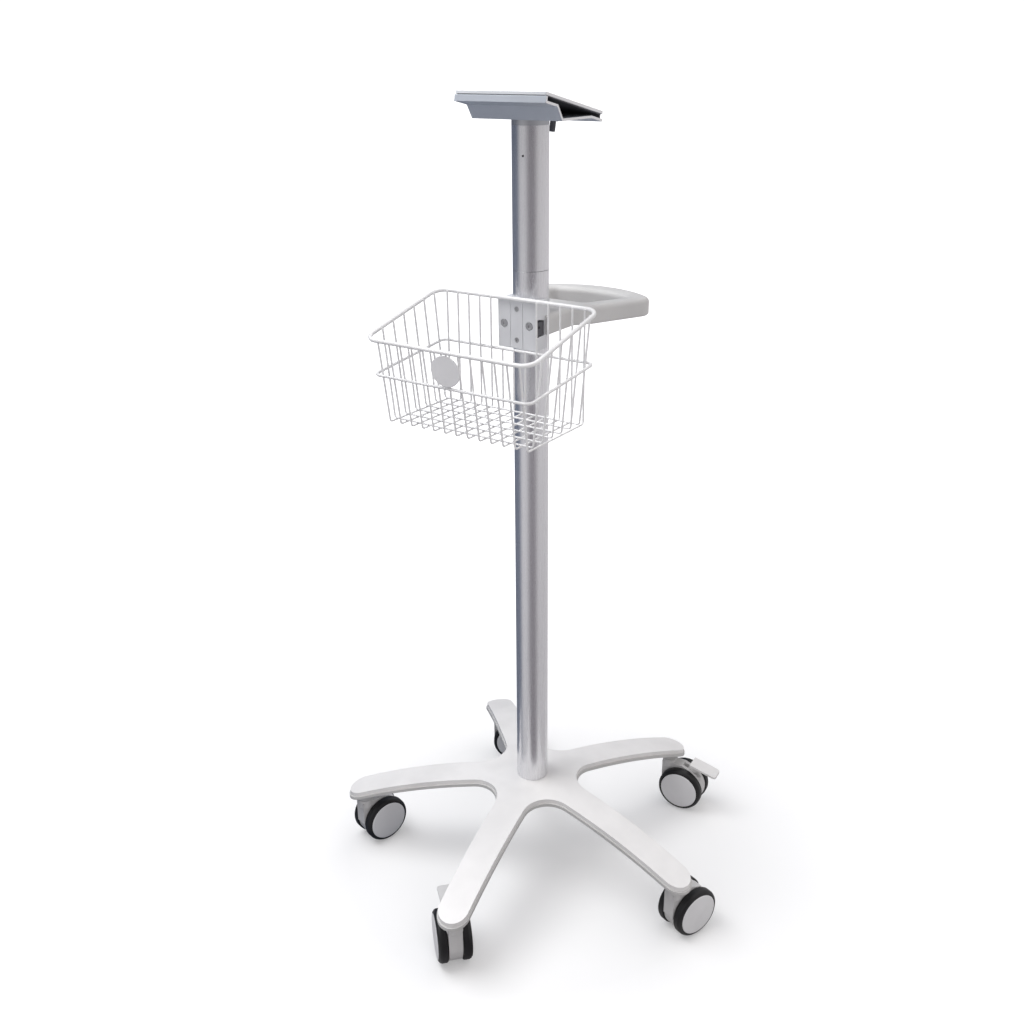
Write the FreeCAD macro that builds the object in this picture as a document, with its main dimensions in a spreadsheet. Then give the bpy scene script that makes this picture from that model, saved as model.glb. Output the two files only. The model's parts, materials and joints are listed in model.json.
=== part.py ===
import FreeCAD, Part
import math
import os

import Sketcher
from FreeCAD import Placement, Rotation, Vector

# Rolling stand for a small medical monitor: a five-arm base on swivel castors, a two-piece
# aluminium column, a clamp that carries a wire basket and a push handle, and a tilted tray.
# Millimetres and degrees. +Z is up, the basket is on the -Y side and the handle on the +Y side.
# Everything is built around the column's axis; at the end the whole stand is moved so that the
# origin is on the floor in the middle of its footprint.

SIZES = [
    # place of the column's axis, from the middle of the stand's footprint
    ("column_x", -24.6, "column axis along X"),
    ("column_y", 8, "column axis along Y"),
    # base
    ("arm_count", 5, "arms of the base"),
    ("first_arm", 64.5, "direction of the first arm, degrees from +X"),
    ("stem_circle", 278.5, "column axis to castor stem"),
    ("arm_tip_half", 24.5, "half width of an arm at its round tip"),
    ("arm_root_half", 27, "half width of an arm at the hub"),
    ("root_fillet", 40, "concave corner between two arms"),
    ("hub_top", 156, "top of the base cover at the column"),
    ("arch_radius", 875, "radius of the arched top of the base"),
    ("cover_side", 7, "height of the cover's side wall"),
    ("cover_wall", 3, "wall of the base cover"),
    ("cover_inset", 2, "cover set back from the frame's lip"),
    ("frame_lip", 5, "thickness of the cast frame's plate"),
    ("hub_floor", 112, "underside of the frame's hub"),
    ("hub_boss_top", 146, "top of the frame's hub boss"),
    ("hub_boss_radius", 34, "outside of the frame's hub boss"),
    ("socket_floor", 118, "floor of the column socket"),
    ("cone_top", 99, "top of the conical boss under an arm's tip"),
    ("cone_bottom", 84, "bottom of the conical boss"),
    ("cone_top_radius", 21, "top radius of the conical boss"),
    ("cone_bottom_radius", 12, "bottom radius of the conical boss"),
    ("column_bolt", 6, "radius of the bolt that holds the column, M12"),
    ("foot_height", 12, "thickness of the threaded disc in the column's foot"),
    # castors
    ("trail", 27.5, "castor stem to wheel axle"),
    ("wheel_radius", 38, "castor wheel, 3 inch"),
    ("wheel_inner", 11, "inner face of a wheel from the castor's middle"),
    ("wheel_width", 14, "width of a wheel at its rim"),
    ("cap_crown", 1.6, "rise of the domed hub cap"),
    ("core_radius", 32, "radius of the wheel core"),
    ("housing_half", 10, "half width of the castor housing"),
    ("housing_radius", 35.5, "round part of the housing about the axle"),
    ("neck_radius", 12, "housing collar around the stem"),
    ("neck_bottom", 70, "bottom of that collar, above the wheels"),
    ("shoulder_top", 79, "top of the housing behind the stem"),
    ("stem_radius", 5.5, "castor stem"),
    ("stem_top", 101, "top of the castor stem"),
    ("stem_bottom", 56, "bottom of the castor stem"),
    ("axle_radius", 4, "wheel axle"),
    ("axle_half", 23, "half length of the wheel axle"),
    ("running_gap", 0.05, "radial clearance of turning fits"),
    ("fixed_gap", 0.02, "radial clearance of assembled fits"),
    ("pedal_pivot_x", 34, "brake pedal pivot from the stem"),
    ("pedal_pivot_z", 66, "brake pedal pivot above the floor"),
    ("pedal_pin_radius", 2, "brake pedal pin"),
    ("pedal_half", 13, "half width of the brake pedal's tread"),
    ("pedal_tip", 87, "outer end of the brake pedal from the stem"),
    # column
    ("column_radius", 24, "outside of the column"),
    ("column_wall", 3, "wall of the column"),
    ("seam_z", 955.5, "joint between the two column tubes"),
    ("seam_gap", 0.6, "visible gap at that joint"),
    ("column_top", 1136, "top end of the upper tube"),
    ("joiner_length", 150, "sleeve inside the column joint"),
    ("plug_flange", 7, "height of the top plug's flange"),
    ("plug_depth", 50, "length of the top plug inside the tube"),
    ("plug_screw_z", 1100, "screw through the tube into the plug"),
    ("plug_screw", 0.8, "radius of that screw"),
    ("plug_screw_turn", 11, "that screw's direction, degrees round from the front"),
    ("tray_bolt", 3, "radius of the bolts between tray and plug, M6"),
    ("tray_bolt_x", 12, "those bolts from the middle"),
    # tray
    ("tray_tilt", 12, "tilt of the tray, high on the basket side"),
    ("tray_centre", 1163.5, "top of the tray plate on the column's axis"),
    ("tray_half_width", 67.5, "half width of the tray"),
    ("tray_half_depth", 66.7, "half depth of the tray along its slope"),
    ("tray_plate", 3.5, "thickness of the tray plate"),
    ("tray_gap", 1, "spacer between plate and channel"),
    ("spacer_inset", 3, "spacer set back from the plate's sides"),
    ("spacer_rib", 3, "width of the spacer's rib at the rear"),
    ("tray_lip", 12.5, "plate top to channel underside"),
    ("channel_sheet", 3, "sheet thickness of the channel"),
    ("trough_front", -31.5, "basket-side corner of the trough"),
    ("trough_shoulder", -42.5, "where the trough's sloping side starts"),
    ("corner_round", 2.5, "rounded corners of the tray plate"),
    ("bolt_circle", 106.07, "bolt circle of the 75 mm square display pattern"),
    ("pattern_hole", 2.25, "radius of the display pattern's holes"),
    ("plunger_y", 57, "release plunger behind the column"),
    ("plunger_radius", 2.5, "pin of the release plunger"),
    ("bush_radius", 5, "bush of the release plunger"),
    ("bush_collar", 2, "height and overhang of the bush's collar"),
    ("knob_radius", 4, "knob of the release plunger"),
    ("knob_height", 13, "height of that knob"),
    # clamp, basket plate and handle
    ("clamp_bottom", 855.5, "bottom of the clamp block"),
    ("clamp_height", 64.5, "height of the clamp block"),
    ("clamp_half", 30, "half width of the clamp block"),
    ("clamp_front", 31, "front face of the clamp block from the axis"),
    ("plate_thickness", 3, "basket mounting plate"),
    ("plate_bolt_x", 20, "mounting bolts from the middle"),
    ("plate_screw_z", 20.7, "small screws above and below the middle"),
    ("plate_bolt", 3, "radius of the mounting bolts, M6"),
    ("plate_screw", 2, "radius of the small screws, M4"),
    ("counterbore", 4.6, "radius of the seats around the mounting bolts"),
    ("counterbore_depth", 2.2, "depth of those seats"),
    ("groove_x", 9.8, "grooves from the middle"),
    ("groove_half", 0.6, "half width of a groove"),
    ("window_depth", 7, "depth of the clamp's side windows"),
    ("window_top", 9, "top of a side window above the clamp's middle"),
    ("window_bottom", 15, "bottom of a side window below it"),
    ("window_front", 29.5, "front edge of a side window from the axis"),
    ("window_back", 12.5, "rear edge of a side window from the axis"),
    ("handle_bottom", 874, "underside of the handle"),
    ("handle_height", 26, "height of the handle"),
    ("handle_arm_half", 34.5, "outer faces of the handle's arms"),
    ("handle_start", 11.5, "front ends of the arms, ahead of the axis"),
    ("grip_back", 199, "rear of the grip"),
    ("grip_round", 8, "rounded top edges of the grip"),
    # basket
    ("rim_wire", 2.8, "radius of the rim wire"),
    ("band_wire", 2, "radius of the middle band's wire"),
    ("grid_wire", 1.3, "radius of the grid wires"),
    ("rim_half", 127.8, "half width of the rim"),
    ("rim_back", -37.2, "rim on the clamp side"),
    ("rim_front", -190.5, "rim on the far side"),
    ("rim_back_z", 922.5, "height of the rim on the clamp side"),
    ("rim_front_z", 884.8, "height of the rim on the far side"),
    ("band_half", 121.1, "half width of the middle band"),
    ("band_back", -37.2, "band on the clamp side"),
    ("band_front", -182.9, "band on the far side"),
    ("band_back_z", 853.5, "height of the band on the clamp side"),
    ("band_front_z", 837, "height of the band on the far side"),
    ("floor_half", 110, "half width of the basket floor"),
    ("floor_back", -41.2, "floor on the clamp side"),
    ("floor_front", -170, "floor on the far side"),
    ("floor_z", 771.8, "height of the basket floor's long wires"),
    ("rim_corner", 18, "corner radius of the rim in plan"),
    ("band_corner", 9, "corner radius of the band in plan"),
    ("long_pitch", 18.2, "spacing of the wires that run front to back"),
    ("cross_pitch", 21.5, "spacing of the wires that run side to side"),
    ("bend", 4, "bend radius of the grid wires"),
    ("badge_radius", 20.7, "blank disc on the basket"),
    ("badge_thickness", 2.5, "thickness of the blank disc"),
    ("badge_z", 861, "centre height of the blank disc"),
    ("badge_turn", 6, "turn of the disc about its clip, degrees"),
    ("badge_stand_off", 3.8, "disc ahead of the wire that carries it"),
    ("clip_half", 3, "half width of the disc's clip"),
    ("clip_height", 20, "height of the disc's clip"),
]

HEADINGS = {"a": 74.5, "b": 137.0, "c": 70.0, "d": 5.5, "e": 33.0}
ARM_OF_CASTOR = {"d": 0, "e": 1, "a": 2, "b": 3, "c": 4}
BRAKED = "bd"
PEDAL_WEB_HALF = 4
INTERSECTION_JOIN = 2
FRONT = Vector(0, -1, 0)
BOLT_HEAD = 1.6

doc = FreeCAD.newDocument("MonitorStand")
sheet = doc.addObject("Spreadsheet::Sheet", "Sizes")
for row, (alias, number, meaning) in enumerate(SIZES, start=1):
    sheet.set(f"A{row}", meaning)
    sheet.set(f"B{row}", str(number))
    sheet.setAlias(f"B{row}", alias)
doc.recompute()

nodes = {}


def size(alias):
    """Number held by the sheet under this alias."""
    return float(sheet.get(alias))


def bind(item, **sizes):
    """Bind properties of a document object to expressions over the sheet."""
    for name, amount in sizes.items():
        item.setExpression(name, amount)


def keep(label, item, place=None):
    """Register one finished sub-part under the name of its file."""
    item.Label = label
    if place:
        item.Placement = place
    nodes[label] = item
    return item


# ---------------------------------------------------------------- sketches and features


def new_body(label):
    made = doc.addObject("PartDesign::Body", label)
    made.Label = label
    return made


def sketch_on(owner, name, role, lift=None):
    """Sketch on one of the body's own origin planes, raised along its normal by lift."""
    sketch = owner.newObject("Sketcher::SketchObject", name)
    plane = next(item for item in owner.Origin.OriginFeatures if item.Role == role)
    sketch.AttachmentSupport = [(plane, "")]
    sketch.MapMode = "FlatFace"
    if lift:
        sketch.setExpression(".AttachmentOffset.Base.z", lift)
    return sketch


def pin(sketch, piece, vertex, x, y):
    """Fix one point of a sketch at the sizes x and y from the sketch's origin."""
    for kind, amount in (("DistanceX", x), ("DistanceY", y)):
        number = sketch.addConstraint(Sketcher.Constraint(kind, -1, 1, piece, vertex, 1.0))
        sketch.setExpression(f"Constraints[{number}]", amount)


def outline(sketch, corners):
    """Closed straight-sided outline, each corner held by two sizes."""
    count = len(corners)
    turn = 2 * math.pi / count
    seeds = [Vector(10 * math.cos(turn * i), 10 * math.sin(turn * i), 0) for i in range(count)]
    first = sketch.GeometryCount
    for i in range(count):
        sketch.addGeometry(Part.LineSegment(seeds[i], seeds[(i + 1) % count]))
    for i in range(count):
        following = first + (i + 1) % count
        sketch.addConstraint(Sketcher.Constraint("Coincident", first + i, 2, following, 1))
    for i, (x, y) in enumerate(corners):
        pin(sketch, first + i, 1, x, y)


def circle(sketch, x, y, radius):
    """Circle with its centre and radius held by sizes."""
    number = sketch.addGeometry(Part.Circle(Vector(1, 1, 0), Vector(0, 0, 1), 5))
    pin(sketch, number, 3, x, y)
    held = sketch.addConstraint(Sketcher.Constraint("Radius", number, 5.0))
    sketch.setExpression(f"Constraints[{held}]", radius)


def pad(owner, sketch, length, both_sides=False, backwards=False):
    made = owner.newObject("PartDesign::Pad", sketch.Name + "_pad")
    made.Profile = sketch
    made.Midplane = both_sides
    made.Reversed = backwards
    bind(made, Length=length)
    return made


def pocket(owner, sketch, length=None, both_sides=False, backwards=False):
    """Pocket to a depth, or through everything when no length is given."""
    made = owner.newObject("PartDesign::Pocket", sketch.Name + "_cut")
    made.Profile = sketch
    made.Midplane = both_sides
    made.Reversed = backwards
    if length:
        bind(made, Length=length)
    else:
        made.Type = "ThroughAll"
    return made


def turned(owner, sketch, kind="PartDesign::Revolution"):
    """Full turn of a sketch about its own vertical axis."""
    made = owner.newObject(kind, sketch.Name + "_turn")
    made.Profile = sketch
    made.ReferenceAxis = (sketch, ["V_Axis"])
    made.Angle = 360
    return made


def round_edges(owner, feature, alias, wanted):
    """Fillet the feature's edges that the test wanted(edge) picks."""
    doc.recompute()
    names = [f"Edge{i}" for i, edge in enumerate(feature.Shape.Edges, start=1) if wanted(edge)]
    made = owner.newObject("PartDesign::Fillet", feature.Name + "_round")
    made.Base = (feature, names)
    bind(made, Radius=alias)
    return made


def is_upright(edge):
    return len(edge.Vertexes) == 2 and abs(edge.tangentAt(edge.FirstParameter).z) > 0.999


# ---------------------------------------------------------------- primitives and booleans


def cylinder(name, radius, height, at=Vector(), axis=Vector(0, 0, 1)):
    made = doc.addObject("Part::Cylinder", name)
    bind(made, Radius=radius, Height=height)
    made.Placement = Placement(at, Rotation(Vector(0, 0, 1), axis))
    return made


def box(name, length, width, height, at):
    made = doc.addObject("Part::Box", name)
    bind(made, Length=length, Width=width, Height=height)
    made.Placement = Placement(at, Rotation())
    return made


def cone(name, lower, upper, height, at):
    made = doc.addObject("Part::Cone", name)
    bind(made, Radius1=lower, Radius2=upper, Height=height)
    made.Placement = Placement(at, Rotation())
    return made


def fuse(name, shapes):
    made = doc.addObject("Part::MultiFuse", name)
    made.Shapes = shapes
    return made


def cut(name, base, tools):
    made = doc.addObject("Part::Cut", name)
    made.Base = base
    made.Tool = tools[0] if len(tools) == 1 else fuse(name + "_tools", tools)
    return made


def group(label, shapes):
    """One node that holds several separate, identical solids."""
    made = doc.addObject("Part::Compound", label)
    made.Links = shapes
    return keep(label, made)


def plain(label, shape, place=None):
    """Sub-part whose shape is set directly."""
    made = doc.addObject("Part::Feature", label)
    made.Shape = shape
    return keep(label, made, place)


def bolt(name, alias, head_height, length, at, axis):
    """Socket-head bolt: head above the seat at the point at, shank along -axis."""
    shank_radius = size(alias)
    head_radius = BOLT_HEAD * shank_radius
    head = cylinder(name + "_head", f"{BOLT_HEAD} * Sizes.{alias}", f"{head_height}")
    shank = cylinder(name + "_shank", f"Sizes.{alias}", f"{length}", Vector(0, 0, -length))
    socket = doc.addObject("Part::Prism", name + "_socket")
    socket.Polygon = 6
    socket.Circumradius = head_radius / 2
    socket.Height = head_height
    socket.Placement = Placement(Vector(0, 0, head_height / 2), Rotation())
    made = cut(name, fuse(name + "_solid", [head, shank]), [socket])
    made.Placement = Placement(at, Rotation(Vector(0, 0, 1), axis))
    return made


# ---------------------------------------------------------------- base


def trim_to_arch(owner, name, below_top, above):
    """Groove away what lies above, or below, the arch set down by the expression below_top."""
    arch = size("arch_radius")
    top = size("hub_top")
    reach = 1.25 * size("stem_circle")
    far = "2 * Sizes.hub_top" if above else "-Sizes.hub_top"
    far_seed = 2 * top if above else -top
    sketch = sketch_on(owner, name, "XZ_Plane")
    middle = Vector(0, top - arch, 0)
    end_angle = math.acos(reach / arch)
    curve = sketch.addGeometry(
        Part.ArcOfCircle(Part.Circle(middle, Vector(0, 0, 1), arch), end_angle, math.pi / 2)
    )
    rim = middle + Vector(reach, arch * math.sin(end_angle), 0)
    corners = [rim, Vector(reach, far_seed, 0), Vector(0, far_seed, 0), Vector(0, top, 0)]
    for start, end in zip(corners, corners[1:]):
        sketch.addGeometry(Part.LineSegment(start, end))
    for piece, vertex, other, other_vertex in ((0, 1, 1, 1), (1, 2, 2, 1), (2, 2, 3, 1), (3, 2, 0, 2)):
        sketch.addConstraint(Sketcher.Constraint("Coincident", piece, vertex, other, other_vertex))
    pin(sketch, curve, 3, "0", f"Sizes.hub_top - ({below_top}) - Sizes.arch_radius")
    held = sketch.addConstraint(Sketcher.Constraint("Radius", curve, arch))
    sketch.setExpression(f"Constraints[{held}]", "Sizes.arch_radius")
    pin(sketch, 2, 1, "1.25 * Sizes.stem_circle", far)
    pin(sketch, 3, 1, "0", far)
    for piece, amount in ((1, "1.25 * Sizes.stem_circle"), (3, "0")):
        vertex = 1 if piece == 1 else 2
        held = sketch.addConstraint(Sketcher.Constraint("DistanceX", -1, 1, piece, vertex, 1.0))
        sketch.setExpression(f"Constraints[{held}]", amount)
    return turned(owner, sketch, "PartDesign::Groove")


def star(label, inset, upper, lower):
    """Five-armed plate, inset from the base's outline, between two arches below the hub's top."""
    owner = new_body(label)
    root = f"Sizes.arm_root_half - {inset}"
    tip = f"Sizes.arm_tip_half - {inset}"
    arm = sketch_on(owner, label + "_arm", "XY_Plane")
    outline(arm, [
        ("0", f"-({root})"),
        ("Sizes.stem_circle", f"-({tip})"),
        ("Sizes.stem_circle", tip),
        ("0", root),
    ])
    arm_pad = pad(owner, arm, "Sizes.hub_top")
    end = sketch_on(owner, label + "_tip", "XY_Plane")
    circle(end, "Sizes.stem_circle", "0", tip)
    end_pad = pad(owner, end, "Sizes.hub_top")
    doc.recompute()
    pattern = owner.newObject("PartDesign::PolarPattern", label + "_arms")
    pattern.Originals = [arm_pad, end_pad]
    axis = next(item for item in owner.Origin.OriginFeatures if item.Role == "Z_Axis")
    pattern.Axis = (axis, [""])
    pattern.Angle = 360
    bind(pattern, Occurrences="Sizes.arm_count")
    owner.Tip = pattern
    hub_reach = 3 * size("arm_root_half")

    def between_arms(edge):
        return is_upright(edge) and math.hypot(edge.Vertexes[0].X, edge.Vertexes[0].Y) < hub_reach

    round_edges(owner, pattern, f"Sizes.root_fillet + {inset}", between_arms)
    trim_to_arch(owner, label + "_over", upper, above=True)
    trim_to_arch(owner, label + "_under", lower, above=False)
    owner.Placement = Placement(Vector(), Rotation(Vector(0, 0, 1), size("first_arm")))
    return owner


def around_stems(build):
    """Call build(place) for the stem position of every arm and return what it makes."""
    made = []
    for number in range(int(size("arm_count"))):
        angle = math.radians(size("first_arm") + 360 / size("arm_count") * number)
        made.append(build(Vector(math.cos(angle), math.sin(angle), 0) * size("stem_circle")))
    return made


def lifted(place, alias):
    return place + Vector(0, 0, size(alias))


def make_base():
    shell = star("cover_outside", "Sizes.cover_inset", "0", "Sizes.cover_side")
    hollow = star(
        "cover_inside",
        "(Sizes.cover_inset + Sizes.cover_wall)",
        "Sizes.cover_wall",
        "2 * Sizes.cover_side",
    )
    column_hole = cylinder("cover_hole", "Sizes.column_radius + 0.1", "2 * Sizes.hub_top")
    keep("base_cover", cut("base_cover", shell, [hollow, column_hole]))

    gap = "Sizes.fixed_gap"
    plate = star(
        "frame_plate", "0", f"Sizes.cover_side + {gap}", "Sizes.cover_side + Sizes.frame_lip"
    )
    boss = cylinder(
        "hub_boss",
        "Sizes.hub_boss_radius",
        "Sizes.hub_boss_top - Sizes.hub_floor",
        Vector(0, 0, size("hub_floor")),
    )
    cones = around_stems(lambda place: cone(
        "stem_cone",
        "Sizes.cone_bottom_radius",
        "Sizes.cone_top_radius",
        "Sizes.cone_top - Sizes.cone_bottom",
        lifted(place, "cone_bottom"),
    ))
    rings = around_stems(lambda place: cylinder(
        "stem_ring", "Sizes.cone_top_radius", "Sizes.hub_top", lifted(place, "cone_top")
    ))
    under_cover = star(
        "under_cover", "0", f"Sizes.cover_side + {gap}", "Sizes.hub_top - Sizes.cone_bottom + 5"
    )
    bosses = doc.addObject("Part::Common", "stem_bosses")
    bosses.Base = under_cover
    bosses.Tool = fuse("boss_shapes", cones + rings)
    socket = cylinder(
        "column_socket",
        f"Sizes.column_radius + {gap}",
        "Sizes.hub_top",
        Vector(0, 0, size("socket_floor")),
    )
    bolt_hole = cylinder("column_bolt_hole", "Sizes.column_bolt + 0.2", "Sizes.hub_top")
    bores = around_stems(lambda place: cylinder(
        "stem_bore",
        f"Sizes.stem_radius + {gap}",
        f"Sizes.stem_top - Sizes.cone_bottom + 1 + {gap}",
        lifted(place, "cone_bottom") - Vector(0, 0, 1),
    ))
    solid = fuse("frame_solid", [plate, boss, bosses])
    keep("base_frame", cut("base_frame", solid, [socket, bolt_hole] + bores))

    group("castor_stems", around_stems(lambda place: cylinder(
        "stem",
        "Sizes.stem_radius",
        "Sizes.stem_top - Sizes.stem_bottom",
        lifted(place, "stem_bottom"),
    )))
    keep("column_bolt", bolt(
        "column_bolt", "column_bolt", 8, 30, Vector(0, 0, size("hub_floor")), Vector(0, 0, -1)
    ))


# ---------------------------------------------------------------- column


def tube(label, outside, wall, bottom, length):
    owner = new_body(label)
    ring = sketch_on(owner, label + "_ring", "XY_Plane", bottom)
    circle(ring, "0", "0", outside)
    circle(ring, "0", "0", f"{outside} - {wall}")
    pad(owner, ring, length)
    return owner


def make_column():
    radius, wall = "Sizes.column_radius", "Sizes.column_wall"
    sleeve = f"{radius} - {wall} - Sizes.fixed_gap"
    floor = "Sizes.socket_floor"
    low = tube("lower_column", radius, wall, floor, f"Sizes.seam_z - {floor}")
    keep("lower_column", low)

    high = tube(
        "upper_column",
        radius,
        wall,
        "Sizes.seam_z + Sizes.seam_gap",
        "Sizes.column_top - Sizes.seam_z - Sizes.seam_gap",
    )
    screw_turn = Rotation(Vector(0, 0, 1), size("plug_screw_turn"))
    sketch_turn = Placement(Vector(), Rotation(Vector(0, 1, 0), size("plug_screw_turn")))
    hole = sketch_on(high, "plug_screw_hole", "XZ_Plane")
    hole.AttachmentOffset = sketch_turn
    circle(hole, "0", "Sizes.plug_screw_z", "Sizes.plug_screw + Sizes.fixed_gap")
    pocket(high, hole, "2 * Sizes.column_radius", backwards=True)
    keep("upper_column", high)

    joiner = tube(
        "column_joiner",
        sleeve,
        wall,
        "Sizes.seam_z - Sizes.joiner_length / 2",
        "Sizes.joiner_length",
    )
    keep("column_joiner", joiner)

    foot = cylinder("foot_disc", sleeve, "Sizes.foot_height", Vector(0, 0, size("socket_floor")))
    thread = cylinder("foot_thread", "Sizes.column_bolt + Sizes.fixed_gap", "Sizes.hub_top")
    keep("column_foot", cut("column_foot", foot, [thread]))

    plug = new_body("top_plug")
    half = sketch_on(plug, "plug_half", "XZ_Plane")
    outline(half, [
        ("0", "Sizes.column_top - Sizes.plug_depth"),
        (sleeve, "Sizes.column_top - Sizes.plug_depth"),
        (sleeve, "Sizes.column_top + Sizes.fixed_gap"),
        (radius, "Sizes.column_top + Sizes.fixed_gap"),
        (radius, "Sizes.column_top + Sizes.plug_flange"),
        ("0", "Sizes.column_top + Sizes.plug_flange"),
    ])
    turned(plug, half)
    side = sketch_on(plug, "plug_side_hole", "XZ_Plane")
    side.AttachmentOffset = sketch_turn
    circle(side, "0", "Sizes.plug_screw_z", "Sizes.plug_screw + Sizes.fixed_gap")
    pocket(plug, side, "2 * Sizes.column_radius", backwards=True)
    top = sketch_on(plug, "plug_bolt_holes", "XY_Plane", "Sizes.column_top + Sizes.plug_flange")
    for side in ("-", ""):
        circle(top, f"{side}Sizes.tray_bolt_x", "0", "Sizes.tray_bolt + Sizes.fixed_gap")
    pocket(plug, top, "20")
    keep("top_plug", plug)

    facing = screw_turn.multVec(FRONT)
    seat = facing * (size("column_radius") + size("fixed_gap")) + Vector(0, 0, size("plug_screw_z"))
    keep("column_screw", bolt("column_screw", "plug_screw", 0.8, 7, seat, facing))


# ---------------------------------------------------------------- tray


def tray_place():
    """Frame of the tilted tray: origin on top of the plate over the column, Z its normal."""
    return Placement(
        Vector(0, 0, size("tray_centre")), Rotation(Vector(1, 0, 0), -size("tray_tilt"))
    )


def channel_section():
    """Outer line of the channel's sheet in the YZ plane, basket side first."""
    tilt = math.radians(size("tray_tilt"))
    depth = size("tray_half_depth")
    under = size("tray_lip")
    rest = size("tray_plate") + size("tray_gap")
    seat = size("column_top") + size("plug_flange") + size("fixed_gap")

    def tilted(along, down):
        y = along * math.cos(tilt) - down * math.sin(tilt)
        z = size("tray_centre") - along * math.sin(tilt) - down * math.cos(tilt)
        return Vector(0, y, z)

    def on_flange(y):
        start = tilted(-depth, under)
        return Vector(0, y, start.z - (y - start.y) * math.tan(tilt))

    flange_end = tilted(depth, under)
    trough_back = flange_end.y - (seat - flange_end.z) / math.tan(tilt)
    return [
        tilted(-depth, rest),
        tilted(-depth, under),
        on_flange(size("trough_shoulder")),
        Vector(0, size("trough_front"), seat),
        Vector(0, trough_back, seat),
        flange_end,
    ]


def make_tray():
    tilted = tray_place()
    outer_line = Part.makePolygon(channel_section())
    section = outer_line.makeOffset2D(-size("channel_sheet"), INTERSECTION_JOIN, True, True, False)
    half = size("tray_half_width")
    channel = section.extrude(Vector(2 * half, 0, 0))
    channel.translate(Vector(-half, 0, 0))
    gap = size("fixed_gap")
    bolt_spots = [Vector(side * size("tray_bolt_x"), 0, size("column_top")) for side in (-1, 1)]
    for spot in bolt_spots:
        channel = channel.cut(Part.makeCylinder(size("tray_bolt") + gap, 30, spot))
    normal = tilted.Rotation.multVec(Vector(0, 0, 1))
    plunger = tilted.multVec(Vector(0, size("plunger_y"), 0))
    bush_hole = Part.makeCylinder(size("bush_radius") + gap, 30, plunger - normal * 30, normal)
    plain("tray_channel", channel.cut(bush_hole))

    plate = new_body("tray_plate")
    face = sketch_on(plate, "plate_face", "XY_Plane")
    outline(face, [
        ("-Sizes.tray_half_width", "-Sizes.tray_half_depth"),
        ("Sizes.tray_half_width", "-Sizes.tray_half_depth"),
        ("Sizes.tray_half_width", "Sizes.tray_half_depth"),
        ("-Sizes.tray_half_width", "Sizes.tray_half_depth"),
    ])
    slab = pad(plate, face, "Sizes.tray_plate", backwards=True)
    round_edges(plate, slab, "Sizes.corner_round", is_upright)
    holes = sketch_on(plate, "plate_holes", "XY_Plane")
    reach = "Sizes.bolt_circle * 0.5 * sqrt(0.5)"
    for x in (f"-{reach}", reach):
        for y in (f"-{reach}", reach):
            circle(holes, x, y, "Sizes.pattern_hole")
    circle(holes, "0", "Sizes.plunger_y", "Sizes.plunger_radius + 2 * Sizes.running_gap")
    pocket(plate, holes)
    keep("tray_plate", plate, tilted)

    make_spacer(tilted)

    seat = size("plug_flange") + size("channel_sheet") + 2 * gap
    group("tray_bolts", [
        bolt("tray_bolt", "tray_bolt", 5, 20, spot + Vector(0, 0, seat), Vector(0, 0, 1))
        for spot in bolt_spots
    ])
    make_plunger(tilted.multiply(Placement(Vector(0, size("plunger_y"), 0), Rotation())))


def make_spacer(place):
    """Black pad under the plate, with a rib down to the channel's rear flange."""
    half = size("tray_half_width") - size("spacer_inset")
    depth = size("tray_half_depth") - size("spacer_inset") / 2
    gap = size("fixed_gap")
    top = -size("tray_plate") - gap
    across = "2 * (Sizes.tray_half_width - Sizes.spacer_inset)"
    pad_height = "Sizes.tray_gap - 2 * Sizes.fixed_gap"
    rib_height = "Sizes.tray_lip - Sizes.channel_sheet - Sizes.tray_plate - 2 * Sizes.fixed_gap"
    pad_foot = gap - size("tray_plate") - size("tray_gap")
    rib_foot = gap - size("tray_lip") + size("channel_sheet")
    cover = box(
        "spacer_pad", across, "2 * Sizes.tray_half_depth - Sizes.spacer_inset", pad_height,
        Vector(-half, -depth, pad_foot),
    )
    rib = box(
        "spacer_rib", across, "Sizes.spacer_rib", rib_height,
        Vector(-half, depth - size("spacer_rib"), rib_foot),
    )
    hole = cylinder(
        "spacer_hole", "Sizes.plunger_radius + 2 * Sizes.running_gap", "2 * Sizes.tray_lip",
        Vector(0, size("plunger_y"), top - size("tray_lip")),
    )
    keep("tray_spacer", cut("tray_spacer", fuse("spacer_solid", [cover, rib]), [hole]), place)


def make_plunger(place):
    """Bush through the channel's rear flange and the plunger that locks the plate."""
    gap = size("fixed_gap")
    collar_height = size("bush_collar")
    foot = -size("tray_lip") - collar_height - gap
    bush_top = -size("tray_plate") - size("tray_gap") - gap
    bush = Part.makeCylinder(size("bush_radius"), bush_top - foot, Vector(0, 0, foot))
    collar = Part.makeCylinder(size("bush_radius") + collar_height, collar_height, Vector(0, 0, foot))
    bore = Part.makeCylinder(size("plunger_radius") + size("running_gap"), 40, Vector(0, 0, -30))
    plain("plunger_bush", bush.fuse(collar).cut(bore), place)

    knob_top = foot - 0.5
    knob_height = size("knob_height")
    knob = Part.makeCylinder(size("knob_radius"), knob_height, Vector(0, 0, knob_top - knob_height))
    knob = knob.makeFillet(1, knob.Edges[:1] + knob.Edges[2:])
    below_top = 0.5
    shaft_length = knob_height / 2 - below_top - knob_top
    start = Vector(0, 0, -below_top - shaft_length)
    shaft = Part.makeCylinder(size("plunger_radius"), shaft_length, start)
    plain("release_plunger", knob.fuse(shaft), place)


# ---------------------------------------------------------------- clamp, basket plate, handle


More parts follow.
